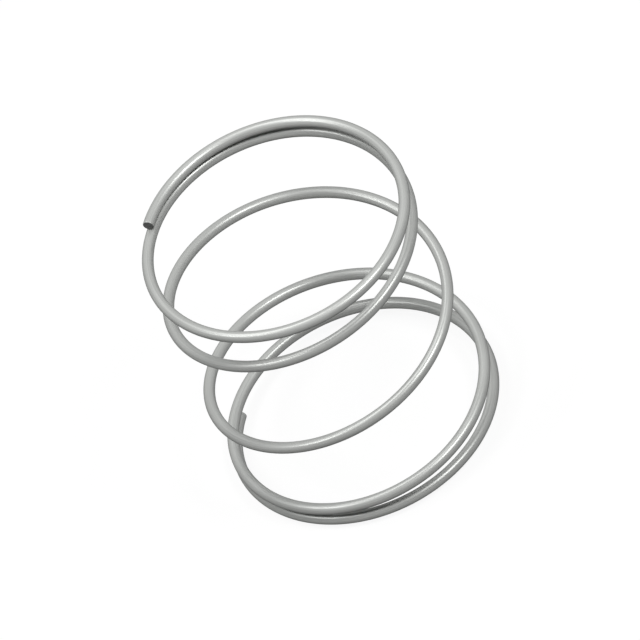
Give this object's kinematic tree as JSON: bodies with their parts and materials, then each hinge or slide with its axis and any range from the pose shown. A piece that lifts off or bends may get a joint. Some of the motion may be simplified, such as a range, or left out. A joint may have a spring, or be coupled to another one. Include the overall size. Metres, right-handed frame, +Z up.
{
  "type": "compression spring",
  "caption": "Open-coil compression spring of round steel wire, wound right-hand, with closed, unground ends and square-cut tips. It pushes back when squeezed along its axis.",
  "frame": {"origin": "on the coil's axis, level with the underside of the lower end turn", "axes": "+Z up the coil's axis to the upper end; the side seen in the picture faces -Y; both wire tips lie at 146 degrees round from +X, seen from above"},
  "size_m": [0.03, 0.03, 0.0334],
  "materials": {
    "spring_wire": "bright drawn steel wire, satin, with fine marks along its length"
  },
  "bodies": {
    "root": {"coil_spring": "spring_wire"}
  },
  "joints": []
}
